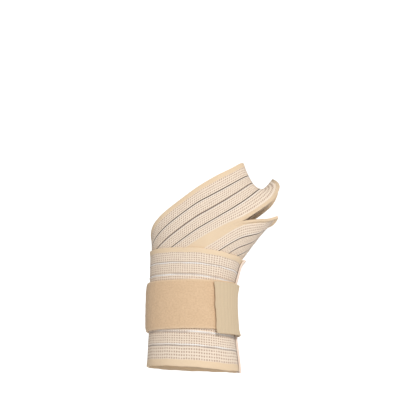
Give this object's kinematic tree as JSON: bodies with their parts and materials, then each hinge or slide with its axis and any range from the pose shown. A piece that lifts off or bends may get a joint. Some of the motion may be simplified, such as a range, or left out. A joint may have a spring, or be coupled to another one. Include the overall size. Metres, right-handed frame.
{
  "type": "wrist wrap",
  "caption": "Elastic wrist wrap in its worn form: a wide woven band with a thumb slit, wound over the hand and round the wrist, closed by a brushed strap with a hook tab.",
  "frame": {"origin": "centre of the wrist, at the middle of the closure strap's width", "axes": "+Z along the forearm towards the fingers, -Y out of the back of the hand, +X towards the thumb"},
  "size_m": [0.1078, 0.053, 0.1694],
  "materials": {
    "woven_elastic": "cream-beige woven elastic with an open mesh, smooth selvages and narrow dark stripes",
    "binding_tape": "pale plain-woven tape",
    "brushed_loop": "matt brushed loop pile",
    "hook_tape": "finely ribbed back of a woven hook tape, slight sheen"
  },
  "bodies": {
    "root": {"elastic_band": "woven_elastic", "end_tape": "binding_tape", "closure_strap": "brushed_loop", "hook_tab": "hook_tape"}
  },
  "joints": []
}
